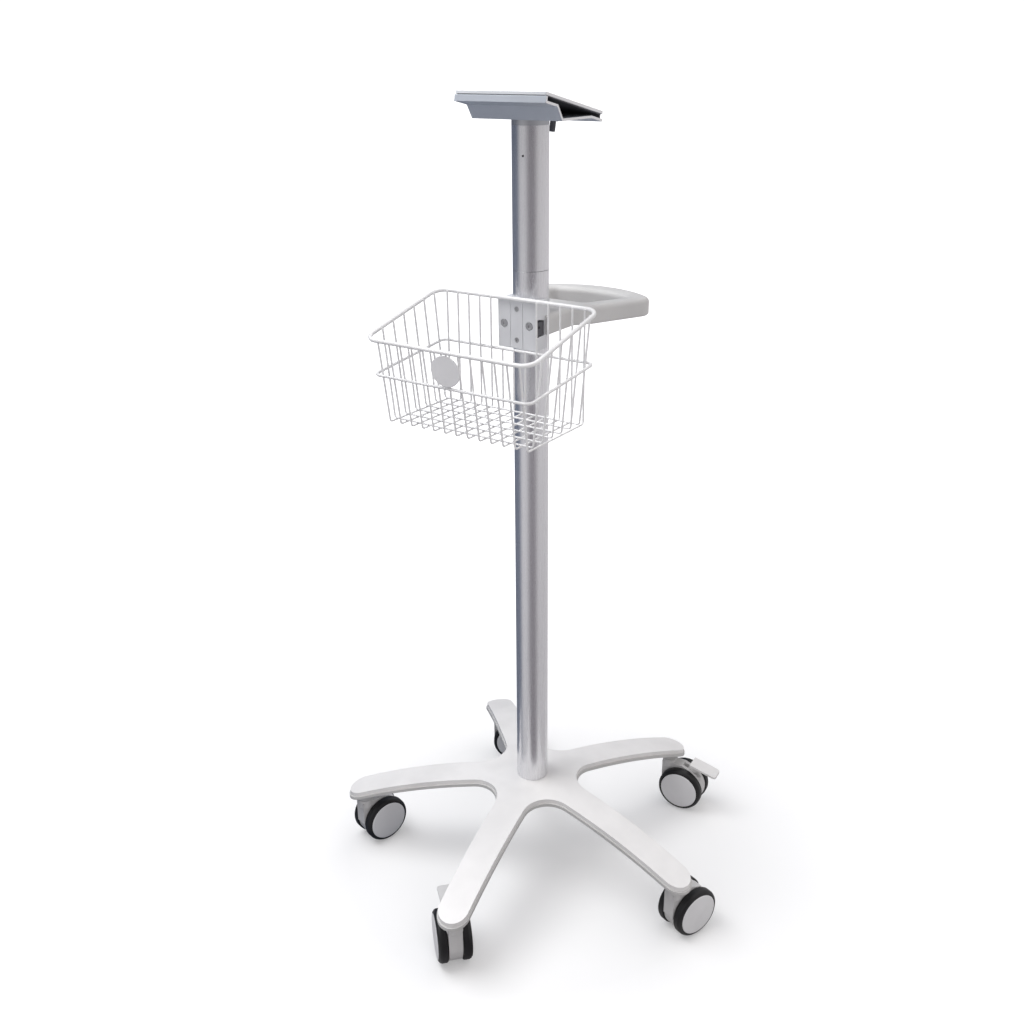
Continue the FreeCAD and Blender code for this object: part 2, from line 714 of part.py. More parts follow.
def make_clamp():
    block = new_body("clamp_block")
    plan = sketch_on(block, "clamp_plan", "XY_Plane", "Sizes.clamp_bottom")
    outline(plan, [
        ("-Sizes.clamp_half", "-Sizes.clamp_front"),
        ("Sizes.clamp_half", "-Sizes.clamp_front"),
        ("Sizes.clamp_half", "-0.5"),
        ("-Sizes.clamp_half", "-0.5"),
    ])
    pad(block, plan, "Sizes.clamp_height")
    bore = sketch_on(block, "clamp_bore", "XY_Plane", "Sizes.clamp_bottom")
    circle(bore, "0", "0", "Sizes.column_radius + Sizes.fixed_gap")
    pocket(block, bore, "Sizes.clamp_height", backwards=True)
    middle = "(Sizes.clamp_bottom + Sizes.clamp_height / 2)"
    for side in (-1, 1):
        window = sketch_on(block, "clamp_window", "YZ_Plane", f"{side} * Sizes.clamp_half")
        outline(window, [
            ("-Sizes.window_front", f"{middle} - Sizes.window_bottom"),
            ("-Sizes.window_back", f"{middle} - Sizes.window_bottom + 1"),
            ("-Sizes.window_back", f"{middle} + Sizes.window_top - 3"),
            ("-Sizes.window_front", f"{middle} + Sizes.window_top"),
        ])
        pocket(block, window, "Sizes.window_depth", backwards=side < 0)
    face = sketch_on(block, "clamp_threads", "XZ_Plane", "Sizes.clamp_front")
    for side in ("-", ""):
        thread = "Sizes.plate_bolt + Sizes.fixed_gap"
        circle(face, f"{side}Sizes.plate_bolt_x", middle, thread)
        thread = "Sizes.plate_screw + Sizes.fixed_gap"
        circle(face, "0", f"{middle} + {side}Sizes.plate_screw_z", thread)
    pocket(block, face, "6.5")
    keep("clamp_block", block)

    keep_clear = 1
    depth = size("window_depth") - 2 * keep_clear / 3
    inner_x = size("clamp_half") - size("window_depth") + size("fixed_gap")
    y = keep_clear - size("window_front")
    z = size("clamp_bottom") + size("clamp_height") / 2 - size("window_bottom") + 2 * keep_clear
    inserts = []
    for x in (-inner_x - depth, inner_x):
        block = box(
            "window_block",
            f"{depth}",
            f"Sizes.window_front - Sizes.window_back - {2 * keep_clear}",
            f"Sizes.window_top - 3 + Sizes.window_bottom - {3 * keep_clear}",
            Vector(x, y, z),
        )
        hole_at = Vector(x - keep_clear, y + 4, z + size("window_bottom") - 4)
        hole = cylinder("window_hole", "Sizes.plate_screw", "Sizes.clamp_half", hole_at, Vector(1, 0, 0))
        inserts.append(cut("window_insert", block, [hole]))
    group("window_inserts", inserts)

    plate = new_body("basket_plate")
    front = sketch_on(plate, "basket_plate_face", "XZ_Plane", "Sizes.clamp_front + Sizes.fixed_gap")
    outline(front, [
        ("-Sizes.clamp_half", "Sizes.clamp_bottom"),
        ("Sizes.clamp_half", "Sizes.clamp_bottom"),
        ("Sizes.clamp_half", "Sizes.clamp_bottom + Sizes.clamp_height"),
        ("-Sizes.clamp_half", "Sizes.clamp_bottom + Sizes.clamp_height"),
    ])
    slab = pad(plate, front, "Sizes.plate_thickness")
    front_y = -size("clamp_front") - size("plate_thickness") / 2
    round_edges(
        plate, slab, "1", lambda edge: is_upright(edge) and edge.Vertexes[0].Y < front_y
    )
    outer = "Sizes.clamp_front + Sizes.fixed_gap + Sizes.plate_thickness"
    grooves = sketch_on(plate, "plate_grooves", "XZ_Plane", outer)
    for side in ("-", ""):
        left = f"{side}Sizes.groove_x - Sizes.groove_half"
        right = f"{side}Sizes.groove_x + Sizes.groove_half"
        outline(grooves, [
            (left, "Sizes.clamp_bottom - 1"),
            (right, "Sizes.clamp_bottom - 1"),
            (right, "Sizes.clamp_bottom + Sizes.clamp_height + 1"),
            (left, "Sizes.clamp_bottom + Sizes.clamp_height + 1"),
        ])
    pocket(plate, grooves, "Sizes.groove_half")
    seats = sketch_on(plate, "plate_counterbores", "XZ_Plane", outer)
    holes = sketch_on(plate, "plate_holes", "XZ_Plane", outer)
    screw_seat = f"{BOLT_HEAD} * Sizes.plate_screw + 0.3"
    for side in ("-", ""):
        circle(seats, f"{side}Sizes.plate_bolt_x", middle, "Sizes.counterbore + 1")
        circle(holes, f"{side}Sizes.plate_bolt_x", middle, "Sizes.plate_bolt + Sizes.running_gap")
        height = f"{middle} + {side}Sizes.plate_screw_z"
        circle(seats, "0", height, screw_seat)
        circle(holes, "0", height, "Sizes.plate_screw + Sizes.running_gap")
    pocket(plate, seats, "Sizes.counterbore_depth")
    pocket(plate, holes, "2 * Sizes.plate_thickness")
    keep("basket_plate", plate)

    gap = size("fixed_gap")
    seat_y = size("counterbore_depth") - size("clamp_front") - size("plate_thickness") - 2 * gap
    height = size("clamp_bottom") + size("clamp_height") / 2
    sunk = size("counterbore_depth") - 0.1
    bolt_spots = [Vector(side * size("plate_bolt_x"), seat_y, height) for side in (-1, 1)]
    group("plate_bolts", [
        bolt("plate_bolt", "plate_bolt", sunk, 6, spot, FRONT) for spot in bolt_spots
    ])
    screw_spots = [Vector(0, seat_y, height + side * size("plate_screw_z")) for side in (-1, 1)]
    group("plate_screws", [
        bolt("plate_screw", "plate_screw", sunk, 6, spot, FRONT) for spot in screw_spots
    ])


def handle_wire(points, rear):
    """Symmetrical closed outline: straight through the points, then an arc over the rear."""
    right = [Vector(x, y, 0) for x, y in points]
    left = [Vector(-x, y, 0) for x, y in reversed(points)]
    edges = [Part.makeLine(a, b) for a, b in zip(right, right[1:])]
    edges.append(Part.Arc(right[-1], Vector(0, rear, 0), left[0]).toShape())
    edges += [Part.makeLine(a, b) for a, b in zip(left, left[1:])]
    edges.append(Part.makeLine(left[-1], right[0]))
    return Part.Wire(edges)


def upright_edges(shape, wanted):
    return [edge for edge in shape.Edges if is_upright(edge) and wanted(edge.Vertexes[0])]


def make_handle():
    bottom, height = size("handle_bottom"), size("handle_height")
    outer_x, back = size("handle_arm_half"), size("grip_back")
    start = -size("handle_start")
    clear = size("fixed_gap")
    outside = handle_wire([(outer_x, start), (outer_x, 47), (53, 68), (97, 161)], back)
    solid = Part.Face(outside).extrude(Vector(0, 0, height))
    corners = upright_edges(solid, lambda vertex: vertex.Y > 100)
    solid = solid.makeFillet(20, corners)
    knees = upright_edges(solid, lambda vertex: 60 < vertex.Y < 80)
    solid = solid.makeFillet(4, knees)
    inside = handle_wire([(30, 86), (67, 152)], back - 33)
    hole = Part.Face(inside).extrude(Vector(0, 0, height))
    hole = hole.makeFillet(10, upright_edges(hole, lambda vertex: True))
    solid = solid.cut(hole)
    top_edges = [
        edge for edge in solid.Edges
        if edge.BoundBox.ZMin > height - 0.1 and edge.BoundBox.YMax > 1
    ]
    solid = solid.makeFillet(size("grip_round"), top_edges)
    low_edges = [
        edge for edge in solid.Edges
        if edge.BoundBox.ZMax < 0.1 and edge.BoundBox.YMin > size("clamp_front")
    ]
    solid = solid.makeFillet(size("grip_round") / 2, low_edges)
    solid = solid.cut(Part.makeCylinder(size("column_radius") + clear, height))
    half = size("clamp_half") + clear
    front = Part.makeBox(2 * half, size("clamp_front"), height, Vector(-half, -size("clamp_front"), 0))
    solid = solid.cut(front)
    plain("handle_grip", solid, Placement(Vector(0, 0, bottom), Rotation()))


# ---------------------------------------------------------------- basket


def swept(path, radius):
    """Round wire along a path, starting square to the path's first edge."""
    first = path.Edges[0]
    start = first.valueAt(first.FirstParameter)
    tangent = first.tangentAt(first.FirstParameter)
    ring = Part.Wire([Part.makeCircle(radius, start, tangent)])
    return path.makePipeShell([ring], True, True)


def loop(half, back, front, back_z, front_z, corner):
    """Rounded rectangle in the plane that slopes from the back height to the front height."""
    slope = math.atan2(back_z - front_z, back - front)
    depth = (back - front) / math.cos(slope)
    x, y = half - corner, depth - corner
    edges = []
    turn = corner * math.sqrt(0.5)
    arcs = [(x, -corner, 1, 1), (x, -y, 1, -1), (-x, -y, -1, -1), (-x, -corner, -1, 1)]
    previous = Vector(-x, 0, 0)
    for cx, cy, sx, sy in arcs:
        across = Vector(cx, cy + sy * corner, 0)
        along = Vector(cx + sx * corner, cy, 0)
        first, last = (across, along) if sx * sy > 0 else (along, across)
        edges.append(Part.makeLine(previous, first))
        edges.append(Part.Arc(first, Vector(cx + sx * turn, cy + sy * turn, 0), last).toShape())
        previous = last
    wire = Part.Wire(edges)
    wire.Placement = Placement(
        Vector(0, back, back_z), Rotation(Vector(1, 0, 0), math.degrees(slope))
    )
    return wire


def bent(points, radius):
    """Path through the points with every corner bent to the radius."""
    edges = []
    previous = points[0]
    for before, corner, after in zip(points, points[1:], points[2:]):
        toward, away = (before - corner).normalize(), (after - corner).normalize()
        half_angle = toward.getAngle(away) / 2
        reach = radius / math.tan(half_angle)
        first, last = corner + toward * reach, corner + away * reach
        inward = (toward + away).normalize()
        middle = corner + inward * (radius / math.sin(half_angle) - radius)
        edges.append(Part.makeLine(previous, first))
        edges.append(Part.Arc(first, middle, last).toShape())
        previous = last
    edges.append(Part.makeLine(previous, points[-1]))
    return Part.Wire(edges)


def inner_reach(across, half_across, near_edge, corner, clearance):
    """Inset of a rounded rectangle's edge at a distance across from its middle line."""
    past = max(0.0, abs(across) - (half_across - corner))
    inner = corner - clearance
    return near_edge - clearance if past == 0 else near_edge - corner + math.sqrt(inner**2 - past**2)


def make_basket():
    corner = size("rim_corner")
    grid, rim_wire = size("grid_wire"), size("rim_wire")
    half, back, front = size("rim_half"), size("rim_back"), size("rim_front")
    back_z, front_z = size("rim_back_z"), size("rim_front_z")
    rim = loop(half, back, front, back_z, front_z, corner)
    plain("basket_rim", swept(rim, rim_wire))
    band = loop(
        size("band_half"), size("band_back"), size("band_front"),
        size("band_back_z"), size("band_front_z"), size("band_corner"),
    )
    plain("basket_band", swept(band, size("band_wire")))

    clearance = rim_wire + grid + size("fixed_gap")
    floor_z = size("floor_z")
    middle_y = (back + front) / 2
    half_depth = (back - front) / 2
    floor_back, floor_front = size("floor_back"), size("floor_front")
    long_wires = []
    for number in range(-6, 7):
        x = number * size("long_pitch")
        reach = inner_reach(x, half, half_depth, corner, clearance)
        behind_plate = abs(x) < size("clamp_half") + grid
        top = Vector(x, middle_y + reach, back_z)
        if behind_plate:
            top = Vector(x, floor_back, size("band_back_z") + size("band_wire"))
        path = bent([
            top,
            Vector(x, floor_back, floor_z),
            Vector(x, floor_front, floor_z),
            Vector(x, middle_y - reach, front_z),
        ], size("bend"))
        long_wires.append(swept(path, grid))
    plain("basket_long_wires", Part.makeCompound(long_wires))

    cross_z = floor_z + 2 * grid + size("fixed_gap")
    cross_middle = (floor_back + floor_front) / 2
    cross_wires = []
    for number in range(6):
        y = cross_middle + (number - 2.5) * size("cross_pitch")
        share = (y - back) / (front - back)
        top_z = back_z + share * (front_z - back_z)
        reach = inner_reach(y - middle_y, half_depth, half, corner, clearance)
        path = bent([
            Vector(-reach, y, top_z),
            Vector(-size("floor_half"), y, cross_z),
            Vector(size("floor_half"), y, cross_z),
            Vector(reach, y, top_z),
        ], size("bend"))
        cross_wires.append(swept(path, grid))
    plain("basket_cross_wires", Part.makeCompound(cross_wires))

    foot = Vector(0, floor_front, floor_z)
    head = Vector(0, front + clearance, front_z)
    make_badge(foot, (head - foot).normalize())


def make_badge(foot, along):
    """Blank disc ahead of the wire from the point foot in the direction along, and its clip."""
    across = Vector(1, 0, 0)
    carrier = foot + along * ((size("badge_z") - foot.z) / along.z)
    ahead = across.cross(along)
    facing = Rotation(Vector(0, 0, 1), size("badge_turn")).multVec(ahead)
    centre = carrier + ahead * size("badge_stand_off")
    disc = Part.makeCylinder(size("badge_radius"), size("badge_thickness"), centre, facing)
    plain("basket_badge", disc.makeFillet(0.8, [disc.Edges[0], disc.Edges[2]]))

    gap = size("fixed_gap")
    half, height = size("clip_half"), size("clip_height")
    low = carrier - along * (size("badge_radius") - 1)
    reach = half + 2 * size("badge_stand_off")
    block = Part.makeBox(2 * half, reach, height, Vector(-half, -half, 0))
    block.Placement = Placement(low, Rotation(-across, ahead, along, "ZYX"))
    wire = Part.makeCylinder(size("grid_wire") + gap, 2 * height, low - along, along)
    beyond = Part.makeCylinder(2 * height, height, centre - facing * gap, facing)
    plain("badge_clip", block.cut(wire).cut(beyond))


# ---------------------------------------------------------------- castors


def wheel_place(side):
    """Frame of one wheel: Z runs outwards along the axle from the wheel's inner face."""
    return Placement(
        Vector(size("trail"), side * size("wheel_inner"), size("wheel_radius")),
        Rotation(Vector(1, 0, 0), -90 * side),
    )


def make_wheel(label, place):
    core = new_body(label)
    half = sketch_on(core, label + "_half", "XZ_Plane")
    bore = "Sizes.axle_radius + Sizes.running_gap"
    bore_depth = "Sizes.axle_half - Sizes.wheel_inner + 0.3"
    outline(half, [
        (bore, "0"),
        ("Sizes.core_radius", "0"),
        ("Sizes.core_radius", "Sizes.wheel_width"),
        ("Sizes.core_radius - 1.5", "Sizes.wheel_width + 0.7"),
        ("Sizes.core_radius / 2", "Sizes.wheel_width + Sizes.cap_crown * 0.8"),
        ("0", "Sizes.wheel_width + Sizes.cap_crown"),
        ("0", bore_depth),
        (bore, bore_depth),
    ])
    turned(core, half)
    keep(label, core, place)


def make_tyre(label, place):
    tyre = new_body(label)
    half = sketch_on(tyre, label + "_half", "XZ_Plane")
    inner = "Sizes.core_radius + Sizes.fixed_gap"
    outer = "Sizes.wheel_radius"
    width = "Sizes.wheel_width"
    outline(half, [
        (inner, "0.4"),
        (f"{outer} - 1", "0"),
        (outer, "1.5"),
        (outer, f"{width} - 5"),
        (f"{outer} - 1", f"{width} - 2.6"),
        (f"{outer} - 3.6", f"{width} - 0.4"),
        (inner, f"{width}"),
    ])
    turned(tyre, half)
    keep(label, tyre, place)


def make_housing(letter, place):
    label = f"castor_{letter}_housing"
    braked = letter in BRAKED
    body = new_body(f"{label}_web")
    side = sketch_on(body, f"{label}_side", "XZ_Plane")
    outline(side, [
        ("-Sizes.neck_radius + 2", "Sizes.wheel_radius"),
        ("-Sizes.neck_radius + 2", "Sizes.shoulder_top"),
        ("Sizes.trail - 2", "Sizes.shoulder_top"),
        ("Sizes.trail + 16", "Sizes.shoulder_top - 7"),
        ("Sizes.trail + 32", "Sizes.shoulder_top - 27"),
        ("Sizes.trail", "Sizes.wheel_radius"),
    ])
    pad(body, side, "2 * Sizes.housing_half", both_sides=True)
    half = size("housing_half")
    axle = Vector(size("trail"), -half, size("wheel_radius"))
    disc = cylinder(f"{label}_disc", "Sizes.housing_radius", "2 * Sizes.housing_half", axle, Vector(0, 1, 0))
    neck = cylinder(
        f"{label}_neck",
        "Sizes.neck_radius",
        "Sizes.cone_bottom - 0.5 - Sizes.neck_bottom",
        Vector(0, 0, size("neck_bottom")),
    )
    stem_bore = cylinder(
        f"{label}_stem_bore",
        "Sizes.stem_radius + Sizes.running_gap",
        "Sizes.hub_top",
        Vector(0, 0, size("stem_bottom") - 0.3),
    )
    axle_bore = cylinder(
        f"{label}_axle_bore",
        "Sizes.axle_radius + Sizes.fixed_gap",
        "4 * Sizes.housing_half",
        axle - Vector(0, half, 0),
        Vector(0, 1, 0),
    )
    tools = [stem_bore, axle_bore]
    if braked:
        tools.append(box(
            f"{label}_slot", "60", f"{2 * PEDAL_WEB_HALF + 1}", "60",
            Vector(size("pedal_pivot_x") - 8, -PEDAL_WEB_HALF - 0.5, size("pedal_pivot_z") - 8),
        ))
        tools.append(cylinder(
            f"{label}_pin_bore",
            "Sizes.pedal_pin_radius + Sizes.fixed_gap",
            "4 * Sizes.housing_half",
            Vector(size("pedal_pivot_x"), -2 * half, size("pedal_pivot_z")),
            Vector(0, 1, 0),
        ))
    keep(label, cut(label, fuse(f"{label}_solid", [body, disc, neck]), tools), place)


def make_pedal(letter, place):
    label = f"castor_{letter}_pedal"
    web = new_body(f"{label}_web")
    side = sketch_on(web, f"{label}_web_side", "XZ_Plane")
    x, z = "Sizes.pedal_pivot_x", "Sizes.pedal_pivot_z"
    outline(side, [
        (f"{x} - 4.5", f"{z} - 2"),
        (f"{x} - 1", f"{z} - 4.8"),
        (f"{x} + 4", f"{z} - 3"),
        (f"{x} + 30", f"{z} + 13"),
        (f"{x} + 7", f"{z} + 20"),
    ])
    pad(web, side, f"{2 * PEDAL_WEB_HALF}", both_sides=True)
    tread = new_body(f"{label}_tread")
    top = sketch_on(tread, f"{label}_tread_side", "XZ_Plane")
    outline(top, [
        (f"{x} + 6", f"{z} + 18"),
        (f"{x} + 30", f"{z} + 12.5"),
        ("Sizes.pedal_tip", f"{z} + 7"),
        ("Sizes.pedal_tip", f"{z} + 10.5"),
        (f"{x} + 30", f"{z} + 16.5"),
        (f"{x} + 7", f"{z} + 22"),
    ])
    slab = pad(tread, top, "2 * Sizes.pedal_half", both_sides=True)
    tip_x = size("pedal_tip")
    round_edges(
        tread, slab, "5",
        lambda edge: is_upright(edge) and edge.Vertexes[0].X > tip_x - 0.1,
    )
    bore = cylinder(
        f"{label}_bore",
        "Sizes.pedal_pin_radius + Sizes.running_gap",
        "4 * Sizes.housing_half",
        Vector(size("pedal_pivot_x"), -2 * size("housing_half"), size("pedal_pivot_z")),
        Vector(0, 1, 0),
    )
    keep(label, cut(label, fuse(f"{label}_solid", [web, tread]), [bore]), place)


def make_castor(letter):
    angle = math.radians(size("first_arm") + 360 / size("arm_count") * ARM_OF_CASTOR[letter])
    stem = Vector(math.cos(angle), math.sin(angle), 0) * size("stem_circle")
    place = Placement(stem, Rotation(Vector(0, 0, 1), HEADINGS[letter]))
    prefix = f"castor_{letter}"
    make_housing(letter, place)
    for side, word in ((1, "left"), (-1, "right")):
        wheel = place.multiply(wheel_place(side))
        make_wheel(f"{prefix}_wheel_{word}", wheel)
        make_tyre(f"{prefix}_tyre_{word}", wheel)
    start = -size("axle_half")
    axle = cylinder(
        f"{prefix}_axle_rod",
        "Sizes.axle_radius",
        "2 * Sizes.axle_half",
        Vector(size("trail"), start, size("wheel_radius")),
        Vector(0, 1, 0),
    )
    rods = [axle]
    if letter in BRAKED:
        make_pedal(letter, place)
        rods.append(cylinder(
            f"{prefix}_pedal_pin",
            "Sizes.pedal_pin_radius",
            "2 * Sizes.housing_half - 0.4",
            Vector(size("pedal_pivot_x"), 0.2 - size("housing_half"), size("pedal_pivot_z")),
            Vector(0, 1, 0),
        ))
    group(f"{prefix}_axle", rods).Placement = place


# ---------------------------------------------------------------- build, check and write


def centre_footprint():
    """Move every sub-part so that the origin is in the middle of the stand's footprint."""
    offset = Vector(size("column_x"), size("column_y"), 0)
    for item in nodes.values():
        item.Placement = Placement(offset, Rotation()).multiply(item.Placement)


def failures():
    """Names of document objects that failed, and of sub-parts without a valid shape."""
    bad = [item.Label for item in doc.Objects if {"Invalid", "Error"} & set(item.State)]
    bad += [
        label for label, item in nodes.items()
        if item.Shape.isNull() or not item.Shape.isValid() or not item.Shape.Solids
    ]
    return bad


make_base()
make_column()
make_tray()
make_clamp()
make_handle()
make_basket()
for castor in sorted(HEADINGS):
    make_castor(castor)
doc.recompute()
centre_footprint()
doc.recompute()

broken = failures()
if broken:
    raise SystemExit("failed: " + ", ".join(broken))

os.makedirs("parts", exist_ok=True)
for label, item in nodes.items():
    item.Shape.exportStep(os.path.join("parts", label + ".step"))
print(len(nodes), "sub-parts written")
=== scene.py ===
import json
import math

import bpy
from mathutils import Euler, Matrix, Vector


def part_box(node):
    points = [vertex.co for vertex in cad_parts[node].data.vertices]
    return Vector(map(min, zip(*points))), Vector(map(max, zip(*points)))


# Looks of the rolling monitor stand: a finish for every CAD piece, a pale studio and the camera.
# Metres. +Z is up, the basket is on the -Y side of the column and the push handle on the +Y side.

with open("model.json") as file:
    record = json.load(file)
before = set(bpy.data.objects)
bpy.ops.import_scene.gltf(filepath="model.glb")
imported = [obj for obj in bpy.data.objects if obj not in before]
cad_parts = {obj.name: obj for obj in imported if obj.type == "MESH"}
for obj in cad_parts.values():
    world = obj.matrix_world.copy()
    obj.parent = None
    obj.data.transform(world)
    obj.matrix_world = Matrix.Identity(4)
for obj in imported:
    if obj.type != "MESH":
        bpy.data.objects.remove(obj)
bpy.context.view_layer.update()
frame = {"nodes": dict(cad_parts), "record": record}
nodes = frame["nodes"]


def foot_of_column():
    """Point on the floor under the column's axis."""
    low, high = (Vector(corner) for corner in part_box("upper_column"))
    foot = (low + high) / 2
    foot.z = 0.0
    return foot


AXIS = foot_of_column()


# ---------------------------------------------------------------- shader helpers


def grey(level):
    return (level, level, level)


def feed(tree, socket, given):
    """Link a socket to an input, or set the input's own value."""
    if isinstance(given, bpy.types.NodeSocket):
        tree.links.new(given, socket)
    else:
        socket.default_value = given


def add_node(tree, kind, **inputs):
    """Node of a kind with its inputs set; an input given as a socket is linked."""
    node = tree.nodes.new(kind)
    for name, given in inputs.items():
        feed(tree, node.inputs[name.replace("_", " ")], given)
    return node


def operate(tree, kind, operation, values):
    """Node of a mathematical kind, with its inputs set in order."""
    node = tree.nodes.new(kind)
    node.operation = operation
    for socket, given in zip(node.inputs, values):
        feed(tree, socket, given)
    return node


def math_node(tree, operation, *values):
    return operate(tree, "ShaderNodeMath", operation, values).outputs["Value"]


def map_range(tree, value, given, wanted=(0.0, 1.0)):
    """Value moved from one span of numbers to another, and held inside it."""
    node = add_node(
        tree, "ShaderNodeMapRange", Value=value,
        From_Min=given[0], From_Max=given[1], To_Min=wanted[0], To_Max=wanted[1],
    )
    return node.outputs["Result"]


def ramp(tree, amount, stops):
    """Colour ramp through (position, colour) stops."""
    node = add_node(tree, "ShaderNodeValToRGB", Fac=amount)
    marks = node.color_ramp.elements
    for number, (position, colour) in enumerate(stops):
        mark = marks[number] if number < 2 else marks.new(position)
        mark.position = position
        mark.color = (*colour, 1.0)
    return node.outputs["Color"]


def noise(tree, place, grain, stretch=(1.0, 1.0, 1.0), detail=3.0):
    """Noise whose patches are about the given number of metres across."""
    scaled = add_node(tree, "ShaderNodeMapping", Vector=place, Scale=stretch)
    made = add_node(
        tree, "ShaderNodeTexNoise", Vector=scaled.outputs["Vector"], Scale=1 / grain, Detail=detail
    )
    return made.outputs["Fac"]


def mix_colours(tree, first, second, amount=1.0, way="MIX"):
    node = tree.nodes.new("ShaderNodeMix")
    node.data_type = "RGBA"
    node.blend_type = way
    colour_inputs = [socket for socket in node.inputs if socket.type == "RGBA"]
    feed(tree, node.inputs["Factor"], amount)
    feed(tree, colour_inputs[0], first)
    feed(tree, colour_inputs[1], second)
    return next(socket for socket in node.outputs if socket.type == "RGBA")


def multiply_colours(tree, first, second):
    return mix_colours(tree, first, second, way="MULTIPLY")


def direction_parts(tree, direction):
    return add_node(tree, "ShaderNodeSeparateXYZ", Vector=direction).outputs


# ---------------------------------------------------------------- finishes

# Match of the rounded and the true normal on a flat stretch and on a sharp edge.
FLAT_MATCH = 0.995
SHARP_MATCH = 0.80

# Share of a face's normal along X from which the face counts as an end of the tray.
END_LEAN = 0.7

# Noise levels between which a patch goes from the darker to the lighter tint.
TINT_SPAN = (0.35, 0.65)

# How far a patch's roughness may leave the finish's own, as a share of it.
ROUGH_SWING = 0.12

RELIEF_DEPTH = 0.0004
ROUNDING_SAMPLES = 4


def soft_normal(tree, reach):
    """Surface normal rounded over edges within reach."""
    node = add_node(tree, "ShaderNodeBevel", Radius=reach)
    node.samples = ROUNDING_SAMPLES
    return node.outputs["Normal"]


def edge_mask(tree, rounded):
    """Near one where the rounded normal leaves the true one, zero on flat stretches."""
    true_normal = tree.nodes.new("ShaderNodeNewGeometry").outputs["Normal"]
    match = operate(tree, "ShaderNodeVectorMath", "DOT_PRODUCT", (rounded, true_normal))
    return map_range(tree, match.outputs["Value"], (FLAT_MATCH, SHARP_MATCH))


def end_mask(tree):
    """One on faces that look along X, zero on the others."""
    facing = tree.nodes.new("ShaderNodeNewGeometry").outputs["True Normal"]
    lean = math_node(tree, "ABSOLUTE", direction_parts(tree, facing)["X"])
    return math_node(tree, "GREATER_THAN", lean, END_LEAN)


def shade(colour, factor):
    return tuple(min(1.0, channel * factor) for channel in colour)


def surface(
    name, colour, roughness, metallic=0.0, mottle=0.04, patch=0.06, stretch=(1.0, 1.0, 1.0),
    bump=0.05, grain=0.0008, wear=0.3, wear_factor=1.15, reach=0.0006, coat=0.0, sheen=0.0,
    pale_ends=None,
):
    """Procedural finish: patchy colour and roughness, fine bump, and worn, softened edges."""
    made = bpy.data.materials.new(name)
    made.use_nodes = True
    tree = made.node_tree
    shader = tree.nodes["Principled BSDF"]
    place = tree.nodes.new("ShaderNodeTexCoord").outputs["Object"]

    patches = noise(tree, place, patch, stretch)
    tints = (shade(colour, 1 - mottle), shade(colour, 1 + mottle))
    tint = ramp(tree, patches, list(zip(TINT_SPAN, tints)))
    # Faces that look along X, the ends of the tray's sheets, get a paler tint: their bare cut
    # edges' own colour plus a painted highlight.
    if pale_ends:
        tint = mix_colours(tree, tint, (*pale_ends, 1.0), end_mask(tree))
    rounded = soft_normal(tree, reach)
    worn = (*shade(colour, wear_factor), 1.0)
    strength = math_node(tree, "MULTIPLY", edge_mask(tree, rounded), wear)
    feed(tree, shader.inputs["Base Color"], mix_colours(tree, tint, worn, strength))

    rough_span = (roughness * (1 - ROUGH_SWING), roughness * (1 + ROUGH_SWING))
    feed(tree, shader.inputs["Roughness"], map_range(tree, patches, (0.0, 1.0), rough_span))
    fine = noise(tree, place, grain, stretch, detail=2.0)
    relief = add_node(
        tree, "ShaderNodeBump", Height=fine, Strength=bump, Distance=RELIEF_DEPTH, Normal=rounded
    )
    feed(tree, shader.inputs["Normal"], relief.outputs["Normal"])
    shader.inputs["Metallic"].default_value = metallic
    shader.inputs["Coat Weight"].default_value = coat
    shader.inputs["Sheen Weight"].default_value = sheen
    return made


# Noise stretch that leaves fine lines along Z, as on a drawn tube.
BRUSHED = (60.0, 60.0, 1.0)

# The tray's two sheets at their ends: the bare cut edges' own pale colour, with a painted
# highlight laid on to make them paler still.
LIT_SHEET_ENDS = (0.95, 0.95, 0.96)

LOOKS = {
    "cover_white": dict(colour=(0.85, 0.84, 0.83), roughness=0.38, coat=0.1),
    "frame_paint": dict(colour=(0.60, 0.595, 0.585), roughness=0.5),
    "aluminium": dict(
        colour=(0.78, 0.78, 0.80), roughness=0.28, metallic=0.95, patch=0.04, stretch=BRUSHED,
        grain=0.02, bump=0.015,
    ),
    "cast_aluminium": dict(colour=(0.55, 0.56, 0.58), roughness=0.45, metallic=0.8),
    "clamp_paint": dict(colour=(0.76, 0.77, 0.79), roughness=0.4, metallic=0.1),
    "tray_steel": dict(
        colour=(0.58, 0.62, 0.68), roughness=0.35, metallic=0.4, pale_ends=LIT_SHEET_ENDS
    ),
    "tray_white": dict(
        colour=(0.74, 0.76, 0.79), roughness=0.35, metallic=0.1, pale_ends=LIT_SHEET_ENDS
    ),
    "steel": dict(colour=(0.48, 0.48, 0.49), roughness=0.3, metallic=1.0),
    "black_steel": dict(colour=(0.03, 0.03, 0.033), roughness=0.4, metallic=0.5, wear_factor=3),
    "black_plastic": dict(colour=(0.09, 0.09, 0.10), roughness=0.45, wear_factor=2),
    "handle_grey": dict(colour=(0.68, 0.675, 0.665), roughness=0.5, sheen=0.1, reach=0.002),
    "wire_white": dict(colour=(0.90, 0.90, 0.90), roughness=0.3, coat=0.3),
    "disc_grey": dict(colour=(0.90, 0.90, 0.91), roughness=0.42),
    "castor_grey": dict(colour=(0.66, 0.655, 0.65), roughness=0.4),
    "wheel_grey": dict(
        colour=(0.80, 0.80, 0.81), roughness=0.3, wear=0.8, wear_factor=1.5, reach=0.001
    ),
    "tyre_black": dict(colour=(0.006, 0.006, 0.007), roughness=0.45, wear_factor=3),
    "pedal_white": dict(colour=(0.80, 0.79, 0.78), roughness=0.38),
}

finishes = {name: surface(name, **look) for name, look in LOOKS.items()}

for part in frame["record"]["subparts"]:
    shown = nodes[part["node"]].data.materials
    shown.clear()
    shown.append(finishes[part["material_slot"]])


# ---------------------------------------------------------------- studio

